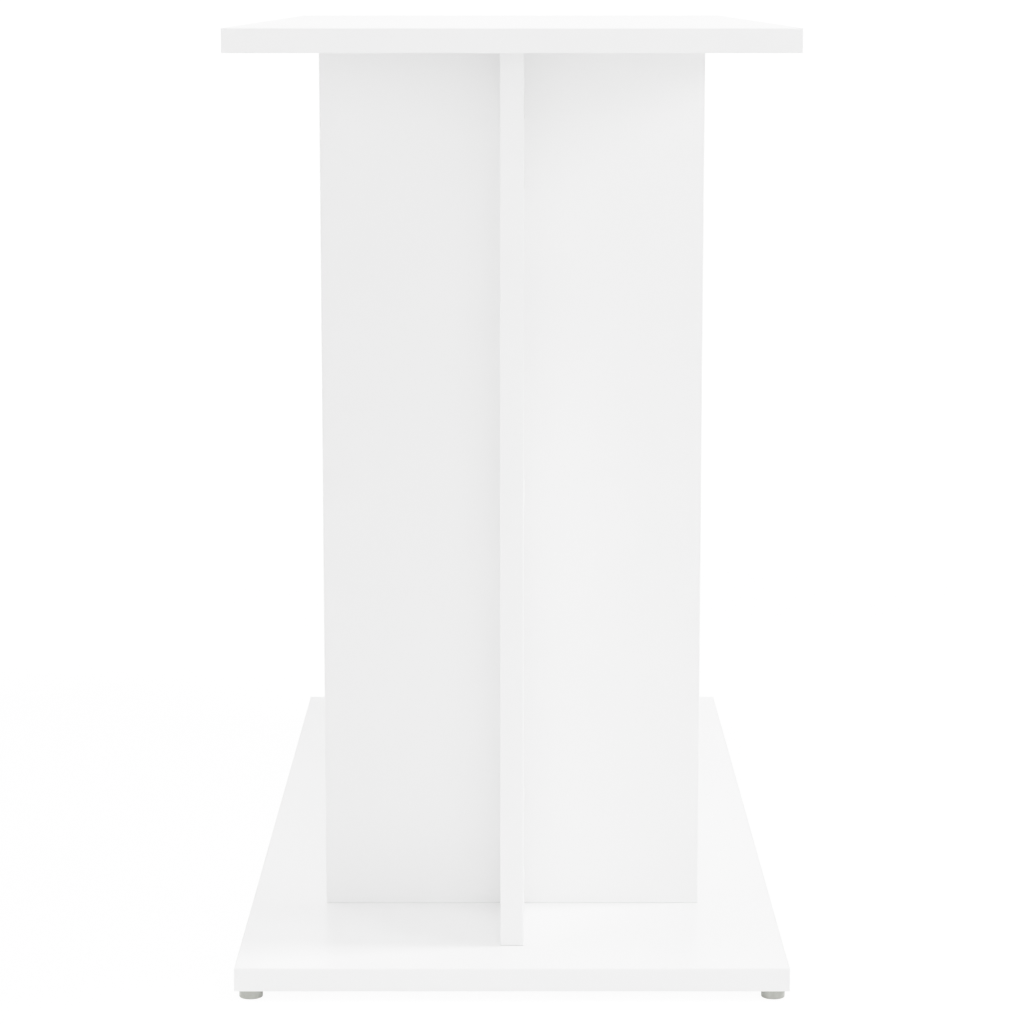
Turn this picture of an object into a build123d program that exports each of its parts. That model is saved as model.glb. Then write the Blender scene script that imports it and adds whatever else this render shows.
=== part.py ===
from build123d import *
import os

# Flat-pack aquarium stand: a top board and a base board held apart by upright panels. A centre panel
# stands along the middle, a cross panel crosses each of its ends, and an end fin carries the line on
# outside each cross panel. Dowels place the panels and cam fittings pull them together.
#
# Frame: +X along the length, +Y across the width, +Z up. The origin is on the floor under the middle.
# "left" is -X, "right" is +X, "front" is -Y and "back" is +Y. Millimetres.

# ---- Driving dimensions --------------------------------------------------------------------------
length = 800.0  # top and base boards
width = 350.0
body_height = 600.0  # underside of the base board to the top face
board = 15.0  # thickness of every panel
glide_height = 6.0

cross_width = 250.0  # cross panels, along Y
cross_inset = 150.0  # end of the boards to the outer face of a cross panel
fin_inset = 50.0  # end of the boards to the edge of a fin

edge_band = 1.0  # glued edge strips
edge_round = 0.9
end_ease = 0.5  # eased arris round the sawn ends of the uprights

glide_diameter = 15.0
glide_inset = 10.0  # glide centre to both edges of the base board
glide_rim = 0.5  # rounded lower rim

# ---- Fittings ------------------------------------------------------------------------------------
bolt_reach = 34.0  # joint face to the axis of the cam
bolt_bore = 8.0
thread_length = 11.0
thread_bore = 6.4

cam_diameter = 14.8
cam_bore = 15.0
cam_bore_depth = 12.5
cam_recess = 1.2  # panel face to the face of the cam
cam_floor = 12.3  # panel face to the bottom of the cam

dowel_diameter = 7.9
dowel_bore = 8.0
dowel_end = 20.0  # length in the edge of an upright
dowel_face = 10.0  # length in the face of a board
end_spare = 1.0  # empty length past the end of a dowel or a thread

nail_diameter = 2.0
nail_bore = 2.1
nail_length = 13.0  # length in the base board
nail_head = 4.6
nail_head_height = 0.9
nail_head_recess = 1.6  # depth of its seat in the glide
nail_seat = 5.2

# ---- Levels and lines worked out from them -------------------------------------------------------
base_bottom = glide_height
base_top = base_bottom + board
top_bottom = base_bottom + body_height - board
upright_height = top_bottom - base_top
upright_middle = (top_bottom + base_top) / 2

cross_outer = length / 2 - cross_inset
cross_inner = cross_outer - board
cross_middle = (cross_outer + cross_inner) / 2
fin_edge = length / 2 - fin_inset
fin_depth = fin_edge - cross_outer
half_board = board / 2
sides = (-1, 1)

# Where the bolts and dowels of each upright stand, as distances from the middle of the stand.
centre_bolt_x = 160.0
centre_dowel_x = 192.0
cross_bolt_y = 80.0
cross_dowel_y = 48.0
fin_bolt_x = cross_outer + 66.0
fin_dowel_x = cross_outer + 34.0

# Heights of the fittings that pass through a cross panel.
through_bolt_step = 205.0
through_dowel_step = 102.5
through_bolt_heights = [upright_middle + step * through_bolt_step for step in (-1, 0, 1)]
through_dowel_heights = [upright_middle + side * through_dowel_step for side in sides]

centre_bolts = [(side * centre_bolt_x, 0) for side in sides]
centre_dowels = [(side * centre_dowel_x, 0) for side in sides]


def cross_points(side, distance):
    """Two points on a cross panel, one each side of the centre line."""
    return [(side * cross_middle, y * distance) for y in sides]


all_bolts = centre_bolts + [(side * fin_bolt_x, 0) for side in sides]
all_dowels = centre_dowels + [(side * fin_dowel_x, 0) for side in sides]
for side in sides:
    all_bolts += cross_points(side, cross_bolt_y)
    all_dowels += cross_points(side, cross_dowel_y)

glide_points = [(x * (length / 2 - glide_inset), y * (width / 2 - glide_inset)) for x in sides for y in sides]


# ---- Places of the cams --------------------------------------------------------------------------
# A cam's plane lies on the panel face that it opens on. Its z points out of that face and its x points
# back along the bolt, towards the joint.


def end_cams(points, outward):
    """Cams at the top and bottom of an upright, for the bolts that stand at these points."""
    places = []
    for x, y in points:
        face = (x + outward[0] * half_board, y + outward[1] * half_board)
        places.append(Plane((*face, top_bottom - bolt_reach), x_dir=(0, 0, 1), z_dir=outward))
        places.append(Plane((*face, base_top + bolt_reach), x_dir=(0, 0, -1), z_dir=outward))
    return places


def side_cams(joint_x, away):
    """Cams for the bolts through a cross panel. away is +1 or -1, the way along X into the board."""
    x = joint_x + away * bolt_reach
    return [Plane((x, half_board, z), x_dir=(-away, 0, 0), z_dir=(0, 1, 0)) for z in through_bolt_heights]


back_face = (0, 1, 0)
centre_cam_places = end_cams(centre_bolts, back_face)
for side in sides:
    centre_cam_places += side_cams(side * cross_inner, -side)


def cross_cam_places(side):
    """The cams of a cross panel open on its inner face."""
    return end_cams(cross_points(side, cross_bolt_y), (-side, 0, 0))


def fin_cam_places(side):
    return end_cams([(side * fin_bolt_x, 0)], back_face) + side_cams(side * cross_outer, side)


def save(piece, name):
    piece.part.label = name
    export_step(piece.part, f"parts/{name}.step")


os.makedirs("parts", exist_ok=True)

# ---- Top and base boards -------------------------------------------------------------------------


def flat_board(underside, joint_face):
    """A board's core, drilled on its joint face for every cam bolt and dowel."""
    with BuildPart() as core:
        with BuildSketch(Plane.XY.offset(underside)):
            Rectangle(length - 2 * edge_band, width - 2 * edge_band)
        extrude(amount=board)
        with Locations(*[(x, y, joint_face) for x, y in all_bolts]):
            Hole(thread_bore / 2, thread_length + end_spare)
        with Locations(*[(x, y, joint_face) for x, y in all_dowels]):
            Hole(dowel_bore / 2, dowel_face + end_spare)
    return core


save(flat_board(top_bottom, top_bottom), "top_board")

base_board = flat_board(base_bottom, base_top)
with base_board:
    with Locations(*[(x, y, base_bottom) for x, y in glide_points]):
        Hole(nail_bore / 2, nail_length + end_spare)
save(base_board, "base_board")

# ---- Uprights ------------------------------------------------------------------------------------


def upright(size, middle_x, bolts, dowels, cams, crossings):
    """A panel standing on the base board. crossings are the places along X of the joint faces where
    bolts and dowels come in from a cross panel, or pass through it."""
    with BuildPart() as panel:
        with BuildSketch(Plane.XY.offset(base_top)):
            with Locations((middle_x, 0)):
                Rectangle(*size)
        extrude(amount=upright_height)
        levels = panel.edges().group_by(Axis.Z)
        chamfer(levels[0] + levels[-1], length=end_ease)
        for joint_face in (base_top, top_bottom):
            with Locations(*[(x, y, joint_face) for x, y in bolts]):
                Hole(bolt_bore / 2, bolt_reach)
            with Locations(*[(x, y, joint_face) for x, y in dowels]):
                Hole(dowel_bore / 2, dowel_end + end_spare)
        for x in crossings:
            with Locations(*[Plane((x, 0, z), z_dir=(1, 0, 0)) for z in through_bolt_heights]):
                Hole(bolt_bore / 2, bolt_reach)
            with Locations(*[Plane((x, 0, z), z_dir=(1, 0, 0)) for z in through_dowel_heights]):
                Hole(dowel_bore / 2, dowel_end + end_spare)
        with Locations(*cams):
            Hole(cam_bore / 2, cam_bore_depth)
    return panel


centre_panel = upright(
    size=(2 * cross_inner, board),
    middle_x=0,
    bolts=centre_bolts,
    dowels=centre_dowels,
    cams=centre_cam_places,
    crossings=[-cross_inner, cross_inner],
)
save(centre_panel, "centre_panel")

for side, hand in zip(sides, ("left", "right")):
    cross_panel = upright(
        size=(board, cross_width - 2 * edge_band),
        middle_x=side * cross_middle,
        bolts=cross_points(side, cross_bolt_y),
        dowels=cross_points(side, cross_dowel_y),
        cams=cross_cam_places(side),
        crossings=[side * cross_outer],
    )
    save(cross_panel, f"{hand}_cross_panel")

    end_fin = upright(
        size=(fin_depth - edge_band, board),
        middle_x=side * (cross_outer + fin_edge - edge_band) / 2,
        bolts=[(side * fin_bolt_x, 0)],
        dowels=[(side * fin_dowel_x, 0)],
        cams=fin_cam_places(side),
        crossings=[side * cross_outer],
    )
    save(end_fin, f"{hand}_end_fin")

# ---- Edge strips ---------------------------------------------------------------------------------


def strip(size, middle, underside, height, outward, long_axis=None):
    """A glued edge strip. Its outer face has rounded edges all round, or only along long_axis."""
    with BuildPart() as band:
        with BuildSketch(Plane.XY.offset(underside)):
            with Locations(middle):
                Rectangle(*size)
        extrude(amount=height)
        outer_edges = band.faces().sort_by(Axis((0, 0, 0), outward))[-1].edges()
        if long_axis:
            outer_edges = outer_edges.filter_by(long_axis)
        fillet(outer_edges, radius=edge_round)
    return band


for board_name, underside in (("top", top_bottom), ("base", base_bottom)):
    for side, hand in zip(sides, ("left", "right")):
        end_strip = strip(
            size=(edge_band, width),
            middle=(side * (length - edge_band) / 2, 0),
            underside=underside,
            height=board,
            outward=(side, 0, 0),
        )
        save(end_strip, f"{board_name}_edge_{hand}")
    for side, hand in zip(sides, ("front", "back")):
        long_strip = strip(
            size=(length - 2 * edge_band, edge_band),
            middle=(0, side * (width - edge_band) / 2),
            underside=underside,
            height=board,
            outward=(0, side, 0),
            long_axis=Axis.X,
        )
        save(long_strip, f"{board_name}_edge_{hand}")

for side, hand in zip(sides, ("left", "right")):
    for y_side, y_hand in zip(sides, ("front", "back")):
        cross_strip = strip(
            size=(board, edge_band),
            middle=(side * cross_middle, y_side * (cross_width - edge_band) / 2),
            underside=base_top,
            height=upright_height,
            outward=(0, y_side, 0),
        )
        save(cross_strip, f"{hand}_cross_edge_{y_hand}")

    fin_strip = strip(
        size=(edge_band, board),
        middle=(side * (fin_edge - edge_band / 2), 0),
        underside=base_top,
        height=upright_height,
        outward=(side, 0, 0),
    )
    save(fin_strip, f"{hand}_fin_edge")

# ---- Cam locks -----------------------------------------------------------------------------------
# Turned parts are drawn as half sections on the XZ plane and revolved about Z. A cam's own frame is
# the plane of its place: z = 0 on the panel face, the bolt's axis half a board below it along x.

bolt_level = -half_board
cam_cavity_radius = 5.0
cam_cavity_height = 7.6  # room for the bolt's head
neck_slot = 5.2
driver_slot = 1.4
driver_slot_length = 8.0
driver_centre = 3.4
driver_depth = 2.0

with BuildPart() as cam:
    with BuildSketch(Plane.XY.offset(-cam_floor)):
        Circle(cam_diameter / 2)
    extrude(amount=cam_floor - cam_recess)
    with BuildSketch(Plane.XY.offset(bolt_level - cam_cavity_height / 2)):
        Circle(cam_cavity_radius)
    extrude(amount=cam_cavity_height, mode=Mode.SUBTRACT)
    # The slot for the bolt's neck runs round half of the drum and opens towards the joint.
    with BuildSketch(Plane.XY.offset(bolt_level - neck_slot / 2)):
        with BuildLine():
            out = cam_diameter
            Polyline((0, neck_slot / 2), (out, neck_slot / 2), (out, -out), (-out, -out), (0, 0), close=True)
        make_face()
    extrude(amount=neck_slot, mode=Mode.SUBTRACT)
    # The wider mouth that lets the head in before the cam is turned.
    with BuildSketch(Plane.XY.offset(bolt_level - cam_cavity_height / 2)):
        with Locations((0, -cam_diameter / 2)):
            Rectangle(cam_cavity_height, cam_diameter)
    extrude(amount=cam_cavity_height, mode=Mode.SUBTRACT)
    # Screwdriver cross.
    with BuildSketch(Plane.XY.offset(-cam_recess)):
        Rectangle(driver_slot_length, driver_slot)
        Rectangle(driver_slot, driver_slot_length)
        Circle(driver_centre / 2)
    extrude(amount=-driver_depth, mode=Mode.SUBTRACT)

cap_diameter = 17.0
cap_height = 0.9
cap_round = 0.6
cap_rim = 14.7  # short collar that sits in the mouth of the bore
cap_collar = 0.9
cap_peg = 3.1
cap_peg_length = 2.6

with BuildPart() as cap:
    Cylinder(cap_diameter / 2, cap_height, align=(Align.CENTER, Align.CENTER, Align.MIN))
    fillet(cap.edges().sort_by(Axis.Z)[-1], radius=cap_round)
    with BuildSketch(Plane.XY):
        Circle(cap_rim / 2)
        Circle(cap_rim / 2 - 1.2, mode=Mode.SUBTRACT)
    extrude(amount=-cap_collar)
    with BuildSketch(Plane.XY):
        Circle(cap_peg / 2)
    extrude(amount=-cap_peg_length)

cam_groups = {
    "centre": centre_cam_places,
    "left_cross": cross_cam_places(-1),
    "right_cross": cross_cam_places(1),
    "left_fin": fin_cam_places(-1),
    "right_fin": fin_cam_places(1),
}
for group, places in cam_groups.items():
    with BuildPart() as cams:
        with Locations(*places):
            add(cam.part)
    save(cams, f"{group}_cams")

    with BuildPart() as caps:
        with Locations(*places):
            add(cap.part)
    save(caps, f"{group}_cam_caps")

# ---- Cam bolts -----------------------------------------------------------------------------------
# z = 0 is the joint face, and the bolt runs along +z to its head, inside the cam.

head_diameter = 7.0
head_length = 6.0
neck_diameter = 4.4
neck_length = 5.0
shank_diameter = 5.6
collar_diameter = 7.6
collar_height = 2.0
thread_core = 4.8
thread_crest = 6.3
thread_rings = 4
thread_pitch = thread_length / thread_rings
bolt_tip = bolt_reach + head_length / 2
neck_top = bolt_reach - head_length / 2
neck_bottom = neck_top - neck_length


def shaft(diameter, bottom, top):
    """A round length of the bolt under construction, from bottom to top along z."""
    with Locations((0, 0, bottom)):
        Cylinder(diameter / 2, top - bottom, align=(Align.CENTER, Align.CENTER, Align.MIN))


with BuildPart() as cam_bolt:
    shaft(thread_core, -thread_length, 0)
    for ring in range(thread_rings):
        ring_bottom = -thread_length + (ring + 0.4) * thread_pitch
        with Locations((0, 0, ring_bottom)):
            Cone(
                thread_core / 2,
                thread_crest / 2,
                thread_pitch * 0.45,
                align=(Align.CENTER, Align.CENTER, Align.MIN),
            )
    shaft(collar_diameter, 0, collar_height)
    shaft(shank_diameter, collar_height, neck_bottom)
    shaft(neck_diameter, neck_bottom, neck_top)
    shaft(head_diameter, neck_top, bolt_tip)
    chamfer(cam_bolt.edges().sort_by(Axis.Z)[-1], length=1.0)

with BuildPart() as double_bolt:
    half_span = board / 2
    shaft(shank_diameter, -half_span - neck_bottom, half_span + neck_bottom)
    shaft(neck_diameter, half_span + neck_bottom, half_span + neck_top)
    shaft(head_diameter, half_span + neck_top, half_span + bolt_tip)
    shaft(neck_diameter, -half_span - neck_top, -half_span - neck_bottom)
    shaft(head_diameter, -half_span - bolt_tip, -half_span - neck_top)
    chamfer(double_bolt.edges().sort_by(Axis.Z)[-1], length=1.0)
    chamfer(double_bolt.edges().sort_by(Axis.Z)[0], length=1.0)

for board_name, joint_face, upright_way in (("top", top_bottom, -1), ("base", base_top, 1)):
    with BuildPart() as bolts:
        with Locations(*[Plane((x, y, joint_face), z_dir=(0, 0, upright_way)) for x, y in all_bolts]):
            add(cam_bolt.part)
    save(bolts, f"{board_name}_cam_bolts")

for side, hand in zip(sides, ("left", "right")):
    with BuildPart() as through_bolts:
        crossing = side * cross_middle
        with Locations(*[Plane((crossing, 0, z), z_dir=(1, 0, 0)) for z in through_bolt_heights]):
            add(double_bolt.part)
    save(through_bolts, f"{hand}_through_bolts")

# ---- Dowels --------------------------------------------------------------------------------------
dowel_chamfer = 0.8


def dowels(size, places):
    """Round wooden dowels, centred on these planes and running along their z."""
    with BuildPart() as pins:
        with Locations(*places):
            Cylinder(dowel_diameter / 2, size)
        chamfer(pins.edges().filter_by(GeomType.CIRCLE), length=dowel_chamfer)
    return pins


dowel_shift = (dowel_end - dowel_face) / 2  # joint face to the middle of a dowel
dowel_length = dowel_end + dowel_face
for board_name, middle_height in (("top", top_bottom - dowel_shift), ("base", base_top + dowel_shift)):
    save(dowels(dowel_length, [Plane((x, y, middle_height)) for x, y in all_dowels]), f"{board_name}_dowels")

for side, hand in zip(sides, ("left", "right")):
    crossing_places = [Plane((side * cross_middle, 0, z), z_dir=(1, 0, 0)) for z in through_dowel_heights]
    save(dowels(board + 2 * dowel_end, crossing_places), f"{hand}_through_dowels")

# ---- Glides --------------------------------------------------------------------------------------


def glide(point):
    """A plastic disc under a corner of the base board, with a seat for its nail's head."""
    with BuildPart() as disc:
        with BuildSketch(Plane.XY):
            with Locations(point):
                Circle(glide_diameter / 2)
        extrude(amount=glide_height)
        fillet(disc.edges().sort_by(Axis.Z)[0], radius=glide_rim)
        with Locations((*point, 0)):
            Hole(nail_bore / 2, 2 * glide_height)
            Hole(nail_seat / 2, nail_head_recess)
    return disc


for x, y in glide_points:
    corner = f"{'left' if x < 0 else 'right'}_{'front' if y < 0 else 'back'}"
    save(glide((x, y)), f"glide_{corner}")

with BuildPart() as glide_nails:
    head_bottom = nail_head_recess - nail_head_height
    with Locations(*[(x, y, head_bottom) for x, y in glide_points]):
        Cylinder(nail_head / 2, nail_head_height, align=(Align.CENTER, Align.CENTER, Align.MIN))
        Cylinder(
            nail_diameter / 2,
            base_bottom + nail_length - head_bottom,
            align=(Align.CENTER, Align.CENTER, Align.MIN),
        )
save(glide_nails, "glide_nails")
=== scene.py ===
"""Blender scene for an open panel aquarium stand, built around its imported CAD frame.

Metres, +Z up. The length of the stand is along X and its width along Y. The camera looks at the right end,
+X. The boards, cams, bolts and dowels are the CAD nodes with finished materials. The edge strips, cam caps,
glides and nails are rebuilt here in finer detail, each inside the box of the node that it replaces.
"""

from math import cos, exp, pi, radians, sin

import bmesh
import bpy
from mathutils import Matrix, Vector


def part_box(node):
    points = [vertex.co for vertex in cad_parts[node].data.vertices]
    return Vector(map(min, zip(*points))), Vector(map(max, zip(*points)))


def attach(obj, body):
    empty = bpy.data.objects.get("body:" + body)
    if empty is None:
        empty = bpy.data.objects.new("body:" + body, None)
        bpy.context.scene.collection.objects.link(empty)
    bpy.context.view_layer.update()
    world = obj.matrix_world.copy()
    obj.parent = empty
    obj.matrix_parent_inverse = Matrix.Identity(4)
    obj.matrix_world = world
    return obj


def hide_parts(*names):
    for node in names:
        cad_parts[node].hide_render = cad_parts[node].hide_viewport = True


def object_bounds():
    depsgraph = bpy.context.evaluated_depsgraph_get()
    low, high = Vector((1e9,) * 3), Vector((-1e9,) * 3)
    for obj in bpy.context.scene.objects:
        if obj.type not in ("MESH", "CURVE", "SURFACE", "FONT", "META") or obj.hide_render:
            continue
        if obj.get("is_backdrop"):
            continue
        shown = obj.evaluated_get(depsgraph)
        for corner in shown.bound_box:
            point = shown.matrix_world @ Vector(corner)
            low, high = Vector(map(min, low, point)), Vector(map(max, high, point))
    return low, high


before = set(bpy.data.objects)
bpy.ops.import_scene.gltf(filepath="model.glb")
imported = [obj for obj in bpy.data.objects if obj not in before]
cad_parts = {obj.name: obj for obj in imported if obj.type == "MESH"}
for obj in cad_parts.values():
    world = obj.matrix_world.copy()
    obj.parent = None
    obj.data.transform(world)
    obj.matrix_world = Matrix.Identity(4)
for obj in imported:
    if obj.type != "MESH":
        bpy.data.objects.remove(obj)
cad_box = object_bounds()

MM = 0.001
HANDS = {"left": -1, "right": 1}  # along X
ENDS = {"front": -1, "back": 1}  # along Y
AXES = {"x": Vector((1, 0, 0)), "y": Vector((0, 1, 0)), "z": Vector((0, 0, 1))}


# ---------------------------------------------------------------------------------------------------------
# Materials


class Surface:
    """A material in the making: its Principled shader, and short calls for the nodes that feed it."""

    def __init__(self, name, **constants):
        self.material = bpy.data.materials.new(name)
        self.material.use_nodes = True
        self.tree = self.material.node_tree
        self.shader = self.tree.nodes["Principled BSDF"]
        for socket, value in constants.items():
            self.shader.inputs[socket.replace("_", " ")].default_value = value
        place = self.tree.nodes.new("ShaderNodeTexCoord")
        self.place = place.outputs["Object"]

    def node(self, kind, output, **inputs):
        """Adds a node, with its inputs as constants or other nodes' outputs, and returns one output."""
        made = self.tree.nodes.new(kind)
        for socket, value in inputs.items():
            self.feed(made.inputs[socket.replace("_", " ")], value)
        return made.outputs[output]

    def feed(self, socket, value):
        if isinstance(value, bpy.types.NodeSocket):
            self.tree.links.new(value, socket)
        else:
            socket.default_value = value

    def stretched(self, along, amount):
        """Coordinates in which a pattern is drawn out along one axis."""
        squeeze = Vector((1, 1, 1)) - AXES[along] * (1 - 1 / amount)
        return self.node("ShaderNodeMapping", "Vector", Vector=self.place, Scale=squeeze)

    def noise(self, size, detail=2.0, place=None):
        """Noise from 0 to 1, whose grains are about size metres across."""
        return self.node(
            "ShaderNodeTexNoise",
            "Fac",
            Vector=place or self.place,
            Scale=1 / size,
            Detail=detail,
            Roughness=0.55,
        )

    def spread(self, value, low, high, start=0.3, end=0.7):
        """A value that goes from start to end, drawn out to go from low to high."""
        sockets = {"From Min": start, "From Max": end, "To Min": low, "To Max": high}
        made = self.tree.nodes.new("ShaderNodeMapRange")
        self.feed(made.inputs["Value"], value)
        for socket, number in sockets.items():
            made.inputs[socket].default_value = number
        return made.outputs["Result"]

    def times(self, value, factor):
        return self.node_math("MULTIPLY", value, factor)

    def plus(self, value, other):
        return self.node_math("ADD", value, other)

    def node_math(self, operation, *values):
        made = self.tree.nodes.new("ShaderNodeMath")
        made.operation = operation
        for socket, value in zip(made.inputs, values):
            self.feed(socket, value)
        return made.outputs[0]

    def blend(self, first, second, part):
        """A sum of two values, in which the first has the given part."""
        return self.plus(self.times(first, part), self.times(second, 1 - part))

    def mix(self, factor, first, second):
        """A colour between two colours."""
        made = self.tree.nodes.new("ShaderNodeMix")
        made.data_type = "RGBA"
        for socket, value in zip((made.inputs[0], made.inputs[6], made.inputs[7]), (factor, first, second)):
            self.feed(socket, value)
        return made.outputs[2]

    def bump(self, height, depth):
        """Raises the surface by depth metres where height goes from 0 to 1."""
        self.feed(
            self.shader.inputs["Normal"],
            self.node("ShaderNodeBump", "Normal", Strength=1.0, Distance=depth, Height=height),
        )

    def colour(self, value):
        self.feed(self.shader.inputs["Base Color"], value)

    def roughness(self, value):
        self.feed(self.shader.inputs["Roughness"], value)


def grey(level, warmth=0.0):
    return (level + warmth, level, level - warmth, 1.0)


def smooth_change(tree, value, start, end, first, last):
    """An output that goes smoothly from first to last while value goes from start to end."""
    made = tree.nodes.new("ShaderNodeMapRange")
    made.interpolation_type = "SMOOTHSTEP"
    tree.links.new(value, made.inputs["Value"])
    for socket, number in (("From Min", start), ("From Max", end), ("To Min", first), ("To Max", last)):
        made.inputs[socket].default_value = number
    return made.outputs["Result"]


SAWN_LIMIT = 0.6  # a face of a board is a sawn edge if its normal has less than this along the board's axis
PEARL_DEPTH = 0.006 * MM
CHIP_DEPTH = 12 * PEARL_DEPTH


def melamine(facing):
    """White melamine on chipboard whose faces look along the given axis. Sawn edges show raw chipboard."""
    surface = Surface(f"white_melamine_{facing}", IOR=1.5)
    pearl = surface.noise(0.55 * MM, detail=3.0)
    cloud = surface.noise(90 * MM, detail=3.0)
    shade = surface.blend(pearl, cloud, 0.35)
    white = surface.mix(surface.spread(shade, 0.0, 1.0), grey(0.893, -0.001), grey(0.905, 0.001))

    chip_places = surface.stretched("x", 1.8)
    chip_size = 1.6 * MM
    chips = surface.node("ShaderNodeTexVoronoi", "Color", Vector=chip_places, Scale=1 / chip_size)
    chip_tone = surface.node("ShaderNodeSeparateColor", "Red", Color=chips)
    fibre = surface.noise(0.3 * MM, detail=4.0)
    raw_tone = surface.blend(chip_tone, fibre, 0.7)
    raw_part = surface.spread(raw_tone, 0.0, 1.0, 0.15, 0.85)
    raw = surface.mix(raw_part, (0.23, 0.14, 0.075, 1), (0.60, 0.44, 0.27, 1))

    normal = surface.node("ShaderNodeNewGeometry", "True Normal")
    facing_part = surface.tree.nodes.new("ShaderNodeVectorMath")
    facing_part.operation = "DOT_PRODUCT"
    surface.feed(facing_part.inputs[0], normal)
    facing_part.inputs[1].default_value = AXES[facing]
    across = surface.node_math("ABSOLUTE", facing_part.outputs["Value"])
    is_raw = surface.node_math("LESS_THAN", across, SAWN_LIMIT)

    surface.colour(surface.mix(is_raw, white, raw))
    surface.roughness(surface.plus(surface.spread(pearl, 0.28, 0.35), surface.times(is_raw, 0.5)))
    chip_height = surface.times(surface.times(is_raw, raw_tone), CHIP_DEPTH / PEARL_DEPTH)
    surface.bump(surface.plus(pearl, chip_height), PEARL_DEPTH)
    return surface.material


def edge_plastic():
    """Thin white ABS strip, smoother than the faces, with a fine grain and slightly uneven tone."""
    surface = Surface("white_edge_strip", IOR=1.5)
    grain = surface.noise(0.35 * MM, detail=3.0)
    cloud = surface.noise(60 * MM)
    shade = surface.blend(grain, cloud, 0.3)
    surface.colour(surface.mix(surface.spread(shade, 0.0, 1.0), grey(0.890), grey(0.902)))
    surface.roughness(surface.spread(grain, 0.30, 0.38))
    surface.bump(grain, 0.004 * MM)
    return surface.material


def cap_plastic():
    """White moulded caps, a little darker and warmer than the boards, with a fine texture."""
    surface = Surface("white_plastic_cap", IOR=1.48)
    grain = surface.noise(0.22 * MM, detail=3.0)
    cloud = surface.noise(8 * MM)
    surface.colour(surface.mix(surface.spread(cloud, 0.0, 1.0), grey(0.800, 0.006), grey(0.825, 0.006)))
    surface.roughness(surface.spread(grain, 0.34, 0.46))
    surface.bump(grain, 0.008 * MM)
    return surface.material


def glide_plastic():
    """Grey polyethylene with a slight olive tint, faintly mottled, with a fine grain."""
    surface = Surface("grey_plastic_glide", IOR=1.49)
    mottle = surface.noise(3.5 * MM, detail=4.0)
    grain = surface.noise(0.25 * MM, detail=3.0)
    surface.colour(
        surface.mix(surface.spread(mottle, 0.0, 1.0), (0.30, 0.305, 0.275, 1), (0.36, 0.365, 0.335, 1))
    )
    surface.roughness(surface.spread(grain, 0.36, 0.52))
    surface.bump(surface.plus(grain, surface.times(mottle, 2.0)), 0.008 * MM)
    return surface.material


def metal(name, tone, tint, rough, grain_size, depth):
    """Bare or plated metal, with patches of duller tone and a fine grain."""
    surface = Surface(name, Metallic=1.0)
    grain = surface.noise(grain_size, detail=4.0)
    patch = surface.noise(12 * grain_size, detail=3.0)
    duller = tuple(0.8 * part for part in tint)
    surface.colour(
        surface.mix(
            surface.spread(patch, 0.0, 1.0),
            (*(tone * part for part in duller), 1.0),
            (*(tone * part for part in tint), 1.0),
        )
    )
    surface.roughness(surface.spread(grain, rough - 0.06, rough + 0.1))
    surface.bump(grain, depth)
    return surface.material


def beech(along):
    """Raw beech pins: pale fibres along the pin with short dark flecks."""
    surface = Surface(f"beech_along_{along}", IOR=1.45)
    fibres = surface.noise(0.45 * MM, detail=4.0, place=surface.stretched(along, 14))
    flecks = surface.noise(0.7 * MM, detail=2.0, place=surface.stretched(along, 5))
    wood = surface.mix(surface.spread(fibres, 0.0, 1.0), (0.50, 0.33, 0.19, 1), (0.70, 0.52, 0.34, 1))
    fleck = surface.spread(flecks, 0.0, 0.7, 0.62, 0.70)
    surface.colour(surface.mix(fleck, wood, (0.33, 0.19, 0.10, 1)))
    surface.roughness(surface.spread(fibres, 0.55, 0.72))
    surface.bump(fibres, 0.02 * MM)
    return surface.material


# ---------------------------------------------------------------------------------------------------------
# Finer pieces


SHARP_ANGLE = radians(35)


def new_object(bm, name, material):
    mesh = bpy.data.meshes.new(name)
    bm.to_mesh(mesh)
    bm.free()
    mesh.materials.append(material)
    made = bpy.data.objects.new(name, mesh)
    bpy.context.scene.collection.objects.link(made)
    return made


def finish_piece(bm, name, material, node):
    """Turns a bmesh into a smooth-shaded piece that stands for a CAD node."""
    bmesh.ops.recalc_face_normals(bm, faces=bm.faces)
    for face in bm.faces:
        face.smooth = True
    for edge in bm.edges:
        edge.smooth = edge.calc_face_angle(0.0) < SHARP_ANGLE
    piece = new_object(bm, name, material)
    even = piece.modifiers.new("even_flats", "WEIGHTED_NORMAL")
    even.keep_sharp = True
    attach(piece, "root")
    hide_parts(node)


STRIP_ROUND = 0.9 * MM
STRIP_SEAM = 0.09 * MM


def edge_strip(node, outward, only_along=None):
    """A glued edge strip: rounded outer edges, and a hairline groove where it meets the board's faces."""
    low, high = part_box(node)
    middle, size = (low + high) / 2, high - low
    bm = bmesh.new()
    bmesh.ops.create_cube(bm, size=1, matrix=Matrix.Translation(middle) @ Matrix.Diagonal((*size, 1)))

    def on_side(edge, side):
        return all((corner.co - middle).dot(side) > 0 for corner in edge.verts)

    def runs_along(edge, axis):
        run = edge.verts[1].co - edge.verts[0].co
        return abs(run.dot(AXES[axis])) > 0.99 * run.length

    outer = [e for e in bm.edges if on_side(e, outward) and (not only_along or runs_along(e, only_along))]
    inner = [e for e in bm.edges if on_side(e, -outward)]
    bmesh.ops.bevel(bm, geom=inner, offset=STRIP_SEAM, segments=1, profile=0.5, affect="EDGES")
    outer = [e for e in outer if e.is_valid]
    bmesh.ops.bevel(bm, geom=outer, offset=STRIP_ROUND, segments=6, profile=0.5, affect="EDGES")
    finish_piece(bm, f"{node}_strip", EDGE_PLASTIC, node)


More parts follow.
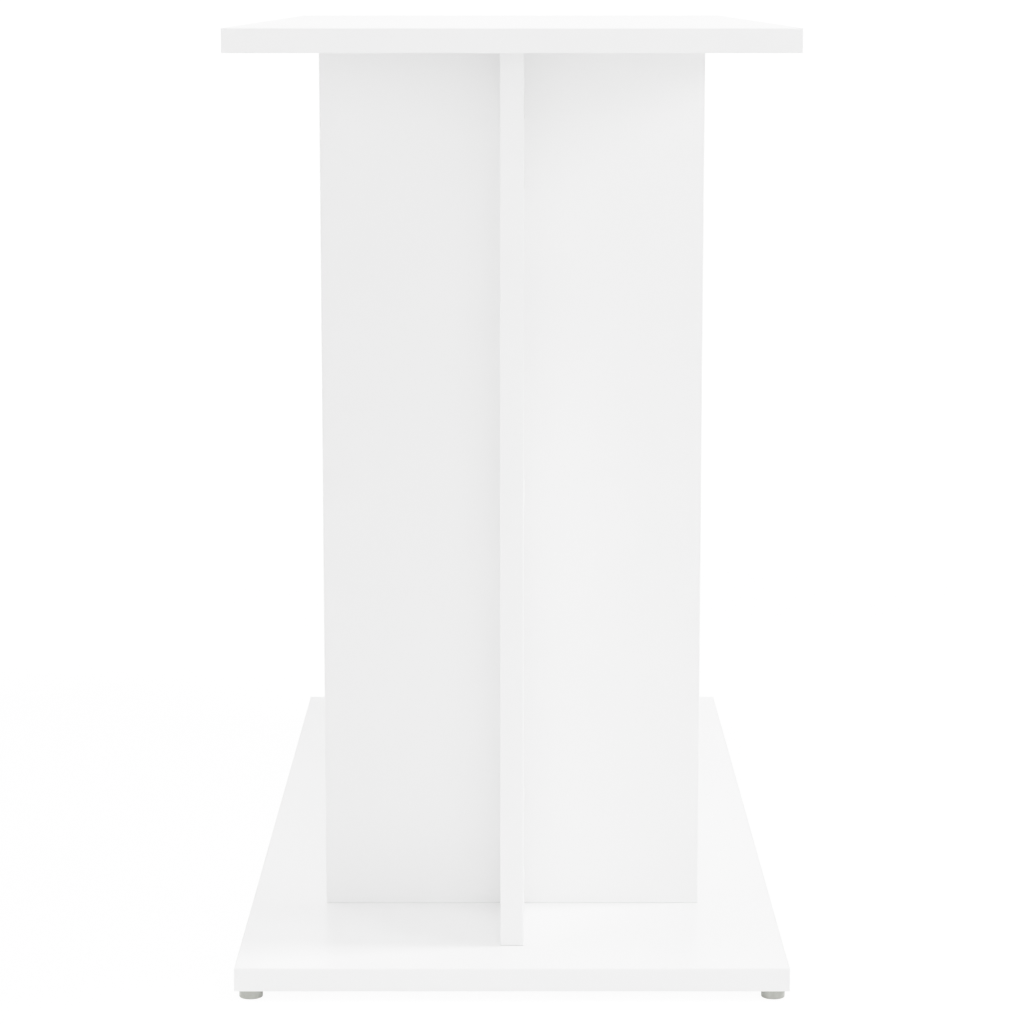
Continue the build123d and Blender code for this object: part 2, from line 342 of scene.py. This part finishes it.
def arc(middle, radius, start, end, steps):
    """Points on an arc of a profile, as (radius, height), from one angle in degrees to another."""
    turns = (radians(start + (end - start) * i / steps) for i in range(steps + 1))
    return [(middle[0] + radius * cos(turn), middle[1] + radius * sin(turn)) for turn in turns]


def turned(profile, place, axis, segments=64, closed=False):
    """A bmesh turned from (radius, height) points in millimetres, at a place, with its height along axis."""
    bm = bmesh.new()
    rings = []
    for radius, height in profile:
        turns = [2 * pi * i / segments for i in range(segments)] if radius > 0 else [0.0]
        rings.append([bm.verts.new((radius * cos(turn), radius * sin(turn), height)) for turn in turns])
    neighbours = list(zip(rings, rings[1:]))
    if closed:
        neighbours.append((rings[-1], rings[0]))
    for lower, upper in neighbours:
        for i in range(segments):
            j = (i + 1) % segments
            corners = [ring[k % len(ring)] for ring, k in ((lower, i), (lower, j), (upper, j), (upper, i))]
            bm.faces.new(dict.fromkeys(corners))
    stand = axis.to_track_quat("Z", "Y").to_matrix().to_4x4()
    bm.transform(Matrix.Translation(place) @ stand @ Matrix.Scale(MM, 4))
    return bm


CAP_RADIUS, CAP_HEIGHT = 8.5, 0.9  # millimetres, as is each profile
CAP_WALL = 0.35
CAP_COLLAR = (6.15, 7.35, 0.9)  # inner radius, outer radius, depth
CAP_PEG = (1.55, 2.6)  # radius, depth
CAP_RING = (6.9, 0.07)  # radius and depth of the ring pressed into its face
CAP_RIM = 0.3
CAP_FALL = 0.3  # from the middle of the dome to its rim
CAP_TAPER = (0.3, 0.2)  # of the peg's and the collar's ends


def groove(depth, wide, narrow):
    """Offsets across a groove from its middle line, each with the depth there."""
    return (-wide, 0), (-narrow, depth), (narrow, depth), (wide, 0)


def cap_profile():
    """A press-in cap: gently domed, with a soft rim, a pressed ring, a collar and a peg behind."""
    inner, outer, depth = CAP_COLLAR
    peg, peg_depth = CAP_PEG
    ring, ring_depth = CAP_RING
    peg_taper, taper = CAP_TAPER

    def dome(radius):
        return CAP_HEIGHT - CAP_FALL * (radius / CAP_RADIUS) ** 2

    points = [(0, -peg_depth), (peg - peg_taper, -peg_depth), (peg, peg_taper - peg_depth), (peg, 0)]
    points += [(inner, 0), (inner, -depth), (outer - taper, -depth), (outer, taper - depth), (outer, 0)]
    points += [(CAP_RADIUS - 0.05, 0), (CAP_RADIUS, 0.05), (CAP_RADIUS, CAP_WALL)]
    points += arc((CAP_RADIUS - CAP_RIM, CAP_WALL), CAP_RIM, 15, 75, 4)
    for offset, drop in reversed(groove(ring_depth, 0.18, 0.06)):
        points.append((ring + offset, dome(ring + offset) - drop))
    points += [(radius, dome(radius)) for radius in (5.2, 3.6, 1.8)]
    points.append((0, CAP_HEIGHT))
    return points


def cap_seats(node, outward):
    """Where each cap of a CAD node meets its board: the middle of its round seat."""
    caps = []
    reach = 2.2 * CAP_RADIUS * MM  # a little more than the width of a cap
    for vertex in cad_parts[node].data.vertices:
        near = [cap for cap in caps if (cap[0] - vertex.co).length < reach]
        if near:
            near[0].append(vertex.co.copy())
        else:
            caps.append([vertex.co.copy()])
    for cap in caps:
        low = Vector(min(corner[i] for corner in cap) for i in range(3))
        high = Vector(max(corner[i] for corner in cap) for i in range(3))
        face = max(corner.dot(outward) for corner in cap)
        middle = (low + high) / 2
        yield middle + outward * (face - CAP_HEIGHT * MM - middle.dot(outward))


def cam_caps(node, outward):
    for number, seat in enumerate(sorted(cap_seats(node, outward), key=tuple), 1):
        bm = turned(cap_profile(), seat, outward)
        finish_piece(bm, f"{node[:-1]}_{number:02d}", CAP_PLASTIC, node)


GLIDE_RADIUS, GLIDE_HEIGHT, GLIDE_RIM = 7.5, 6.0, 0.5
GLIDE_PARTING = (3.8, 0.08)  # height and depth of the mould's parting line
GLIDE_EASE = 0.3  # radius of its upper edge
NAIL_BORE = 1.05
NAIL_SEAT = (2.6, 1.6)  # radius, depth
NAIL_SEAT_CHAMFER = 0.25


def glide_profile():
    """A nail-on glide: straight wall with a parting line, rounded rim, and a seat for the nail's head."""
    seat, depth = NAIL_SEAT
    line, line_depth = GLIDE_PARTING
    points = [(NAIL_BORE, depth), (seat - 0.1, depth), (seat, depth - 0.1)]
    points += [(seat, NAIL_SEAT_CHAMFER), (seat + NAIL_SEAT_CHAMFER, 0)]
    points += arc((GLIDE_RADIUS - GLIDE_RIM, GLIDE_RIM), GLIDE_RIM, -90, 0, 6)
    for offset, cut in groove(line_depth, 0.2, 0.07):
        points.append((GLIDE_RADIUS - cut, line + offset))
    points += arc((GLIDE_RADIUS - GLIDE_EASE, GLIDE_HEIGHT - GLIDE_EASE), GLIDE_EASE, 0, 90, 4)
    points.append((NAIL_BORE, GLIDE_HEIGHT))
    return points


NAIL_SHANK, NAIL_HEAD, NAIL_HEAD_HEIGHT = 1.0, 2.3, 0.9
NAIL_TIP = 1.8
NAIL_DOME = 0.22


def nail_profile(length):
    """A round wire nail, from the middle of its slightly domed head to its point."""
    points = [(NAIL_HEAD * part, NAIL_DOME * part**2) for part in (0.0, 0.3, 0.6, 0.85)]
    points += [(NAIL_HEAD - 0.06, NAIL_DOME + 0.05), (NAIL_HEAD, NAIL_DOME + 0.14)]
    points += [(NAIL_HEAD, NAIL_HEAD_HEIGHT - 0.08), (NAIL_HEAD - 0.08, NAIL_HEAD_HEIGHT)]
    points.append((NAIL_SHANK + 0.25, NAIL_HEAD_HEIGHT))
    points += [(NAIL_SHANK, NAIL_HEAD_HEIGHT + 0.25), (NAIL_SHANK, length - NAIL_TIP)]
    points += [(0.45 * NAIL_SHANK, length - 0.35 * NAIL_TIP), (0, length)]
    return points


def glide_and_nail(hand, end):
    node = f"glide_{hand}_{end}"
    low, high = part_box(node)
    middle = (low + high) / 2
    foot = Vector((middle.x, middle.y, low.z))
    bm = turned(glide_profile(), foot, AXES["z"], segments=96, closed=True)
    finish_piece(bm, f"{node}_moulded", GLIDE_PLASTIC, node)

    nails_low, nails_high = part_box("glide_nails")
    head = Vector((middle.x, middle.y, nails_low.z))
    bm = turned(nail_profile((nails_high.z - nails_low.z) / MM), head, AXES["z"], segments=40)
    finish_piece(bm, f"nail_{hand}_{end}", NAIL_STEEL, "glide_nails")


def repaint(node, material):
    """Gives a CAD node its finished material."""
    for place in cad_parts[node].material_slots:
        place.material = material


# ---------------------------------------------------------------------------------------------------------
# The stand

EDGE_PLASTIC = edge_plastic()
CAP_PLASTIC = cap_plastic()
GLIDE_PLASTIC = glide_plastic()
NAIL_STEEL = metal("steel_nail", 0.60, (1.0, 1.0, 1.0), 0.28, 0.15 * MM, 0.004 * MM)
CAM_ZINC = metal("zinc_cam", 0.62, (1.0, 1.01, 1.02), 0.44, 0.3 * MM, 0.02 * MM)
BOLT_STEEL = metal("steel_bolt", 0.66, (1.0, 1.0, 0.97), 0.26, 0.2 * MM, 0.004 * MM)
MELAMINE = {axis: melamine(axis) for axis in AXES}
BEECH = {axis: beech(axis) for axis in ("x", "z")}

for board in ("top", "base"):
    repaint(f"{board}_board", MELAMINE["z"])
    repaint(f"{board}_cam_bolts", BOLT_STEEL)
    repaint(f"{board}_dowels", BEECH["z"])
    for hand, side in HANDS.items():
        edge_strip(f"{board}_edge_{hand}", side * AXES["x"])
    for end, side in ENDS.items():
        edge_strip(f"{board}_edge_{end}", side * AXES["y"], only_along="x")

repaint("centre_panel", MELAMINE["y"])
repaint("centre_cams", CAM_ZINC)
cam_caps("centre_cam_caps", AXES["y"])

for hand, side in HANDS.items():
    outward = side * AXES["x"]
    repaint(f"{hand}_cross_panel", MELAMINE["x"])
    repaint(f"{hand}_end_fin", MELAMINE["y"])
    repaint(f"{hand}_cross_cams", CAM_ZINC)
    repaint(f"{hand}_fin_cams", CAM_ZINC)
    repaint(f"{hand}_through_bolts", BOLT_STEEL)
    repaint(f"{hand}_through_dowels", BEECH["x"])
    edge_strip(f"{hand}_fin_edge", outward)
    cam_caps(f"{hand}_fin_cam_caps", AXES["y"])
    cam_caps(f"{hand}_cross_cam_caps", -outward)
    for end, end_side in ENDS.items():
        edge_strip(f"{hand}_cross_edge_{end}", end_side * AXES["y"])
        glide_and_nail(hand, end)


# ---------------------------------------------------------------------------------------------------------
# Studio

STUDIO_RADIUS = 40.0
GLOW_REACH = (0.9, 2.8)  # between which the floor's own light grows
LIT_STRIP = (0.534, 0.16)  # half width of the bright strip at the middle of the stand, and gain towards -X
LIT_STRIP_LEAST = 0.15  # the least half width
LIT_STRIP_EDGE = (1.0, 2.0)  # parts of its half width between which it fades
LIT_STRIP_END = (0.6, 2.2)  # places along X between which it fades
CAMERA_DISTANCE = 1.995  # from the near end of the boards
CAMERA_HEIGHT = 0.632
CAMERA_TILT = 9.12  # degrees below level
CAMERA_LENS = 115.6
WORLD_LIGHT = (0.683, 0.054)  # of the walls and of the ceiling
WALL_FADE = (16, 30)  # degrees above level between which the walls fade into the ceiling
ROLL_OFF = 3.0  # how strongly bright tones are held back; near 0 is hardly at all
ROLL_OFF_STEPS = 12
BOUNCES, DIFFUSE_BOUNCES = 16, 12  # many, because white boards light each other again and again

# name: azimuth (0 is +X, 90 is +Y), elevation, distance, size, power
LIGHTS = {
    "key": (83, 54, 3.0, 0.6, 29.9),
    "right_front": (60, 25, 3.0, 0.8, 10.4),
    "front_top": (0, 65, 3.0, 1.2, 6.7),
    "front_high": (0, 40, 3.5, 1.6, 7.4),
    "front_low": (0, 8, 3.5, 1.6, 3.9),
    "left_front": (-60, 55, 3.0, 1.2, 3.5),
    "left_fill": (-90, 30, 3.0, 1.6, 17.0),
    "left_back": (-135, 30, 3.5, 1.6, 20.8),
    "right_back": (135, 30, 3.5, 1.6, 6.9),
    "back_low": (180, 12, 3.5, 2.0, 4.5),
}


def stage_paint(name, level):
    """Matt white studio paint."""
    surface = Surface(name, Specular_IOR_Level=0.0, Roughness=1.0)
    blotch = surface.spread(surface.noise(0.4, detail=3.0), 0.0, 1.0)
    surface.colour(surface.mix(blotch, grey(level - 0.005), grey(level + 0.005)))
    return surface


def lit_part(surface, dim):
    """From 1 in the strip that the main view shows to dim beside it and in front of the stand."""
    along = surface.node("ShaderNodeSeparateXYZ", "X", Vector=surface.place)
    across = surface.node("ShaderNodeSeparateXYZ", "Y", Vector=surface.place)
    start_width, widening = LIT_STRIP
    width = surface.plus(surface.times(along, -widening), start_width)
    width = surface.node_math("MAXIMUM", width, LIT_STRIP_LEAST)
    beside = surface.node_math("DIVIDE", surface.node_math("ABSOLUTE", across), width)
    beside_part = smooth_change(surface.tree, beside, *LIT_STRIP_EDGE, 1.0, dim)
    before_part = smooth_change(surface.tree, along, *LIT_STRIP_END, 1.0, dim)
    return surface.node_math("MINIMUM", beside_part, before_part)


def glowing_paint(name, level, glow, far_glow, dim):
    """Studio paint with a light of its own, which changes far from the stand.

    It is dimmer where the main view doesn't show it, so that the white stand can be told from the floor and
    the wall in views from its sides and its back.
    """
    surface = stage_paint(name, level)
    reach = surface.tree.nodes.new("ShaderNodeVectorMath")
    reach.operation = "LENGTH"
    surface.feed(reach.inputs[0], surface.place)
    strength = smooth_change(surface.tree, reach.outputs["Value"], *GLOW_REACH, glow, far_glow)
    surface.shader.inputs["Emission Color"].default_value = grey(1.0)
    surface.feed(surface.shader.inputs["Emission Strength"], surface.times(strength, lit_part(surface, dim)))
    return surface


def stage_piece(bm, name, paint):
    piece = new_object(bm, name, paint.material)
    piece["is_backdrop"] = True
    return piece


def disc(height):
    bm = bmesh.new()
    place = Matrix.Translation((0, 0, height))
    bmesh.ops.create_circle(bm, cap_ends=True, radius=STUDIO_RADIUS, segments=96, matrix=place)
    return bm


def studio():
    """The white floor and round wall that the camera sees, and just below, a floor that lights the stand."""
    floor_paint = glowing_paint("floor_paint", level=0.3, glow=0.8, far_glow=1.0, dim=0.47)
    wall_paint = glowing_paint("wall_paint", level=0.02, glow=1.05, far_glow=1.05, dim=0.49)
    floor = stage_piece(disc(0.0), "studio_floor", floor_paint)
    bm = bmesh.new()
    bmesh.ops.create_uvsphere(bm, u_segments=96, v_segments=24, radius=STUDIO_RADIUS)
    wall = stage_piece(bm, "studio_wall", wall_paint)
    for seen in (floor, wall):
        seen.visible_diffuse = False
        seen.visible_glossy = False
        seen.visible_shadow = False
    bounce = stage_piece(disc(-MM), "studio_bounce", stage_paint("bounce_paint", level=0.9))
    bounce.visible_camera = False


def pointing(thing, place, target):
    thing.location = place
    thing.rotation_euler = (target - place).to_track_quat("-Z", "Y").to_euler()
    bpy.context.scene.collection.objects.link(thing)


def soft_light(name, azimuth, elevation, distance, size, power):
    """A square soft box aimed at the middle of the stand. The camera doesn't see it."""
    lamp = bpy.data.lights.new(name, "AREA")
    lamp.shape = "SQUARE"
    lamp.size = size
    lamp.energy = power
    low, high = Vector(cad_box[0]), Vector(cad_box[1])
    middle = (low + high) / 2
    turn, rise = radians(azimuth), radians(elevation)
    way = Vector((cos(rise) * cos(turn), cos(rise) * sin(turn), sin(rise)))
    light = bpy.data.objects.new(name, lamp)
    light.visible_camera = False
    pointing(light, middle + distance * way, middle)


def studio_world():
    """White studio walls up to a little above the horizon, and a darker ceiling."""
    world = bpy.data.worlds.new("studio")
    world.use_nodes = True
    tree = world.node_tree
    background = tree.nodes["Background"]
    background.inputs["Color"].default_value = grey(1.0)
    way = tree.nodes.new("ShaderNodeSeparateXYZ")
    tree.links.new(tree.nodes.new("ShaderNodeTexCoord").outputs["Generated"], way.inputs[0])
    start, end = (sin(radians(height)) for height in WALL_FADE)
    strength = smooth_change(tree, way.outputs["Z"], start, end, *WORLD_LIGHT)
    tree.links.new(strength, background.inputs["Strength"])
    bpy.context.scene.world = world


def soft_highlights():
    """A tone curve that rolls off towards white, as a camera's does."""
    settings = bpy.context.scene.view_settings
    settings.view_transform = "Standard"
    settings.use_curve_mapping = True
    curve = settings.curve_mapping.curves[3]  # the one for all colours together
    for i in range(1, ROLL_OFF_STEPS):
        light = i / ROLL_OFF_STEPS
        curve.points.new(light, (1 - exp(-ROLL_OFF * light)) / (1 - exp(-ROLL_OFF)))
    settings.curve_mapping.update()


def end_camera():
    """Looks along the stand at its right end, from a little above the top board."""
    lens = bpy.data.cameras.new("camera")
    lens.sensor_width = 36.0
    lens.lens = CAMERA_LENS
    camera = bpy.data.objects.new("camera", lens)
    place = Vector((cad_box[1][0] + CAMERA_DISTANCE, 0.0, CAMERA_HEIGHT))
    tilt = radians(CAMERA_TILT)
    pointing(camera, place, place + Vector((-cos(tilt), 0.0, -sin(tilt))))
    bpy.context.scene.camera = camera


studio()
studio_world()
for name, setup in LIGHTS.items():
    soft_light(name, *setup)
end_camera()
soft_highlights()
bpy.context.scene.cycles.max_bounces = BOUNCES
bpy.context.scene.cycles.diffuse_bounces = DIFFUSE_BOUNCES

boxes = {"cad": cad_box, "visual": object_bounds()}
{name: [list(corner) for corner in box] for name, box in boxes.items()}
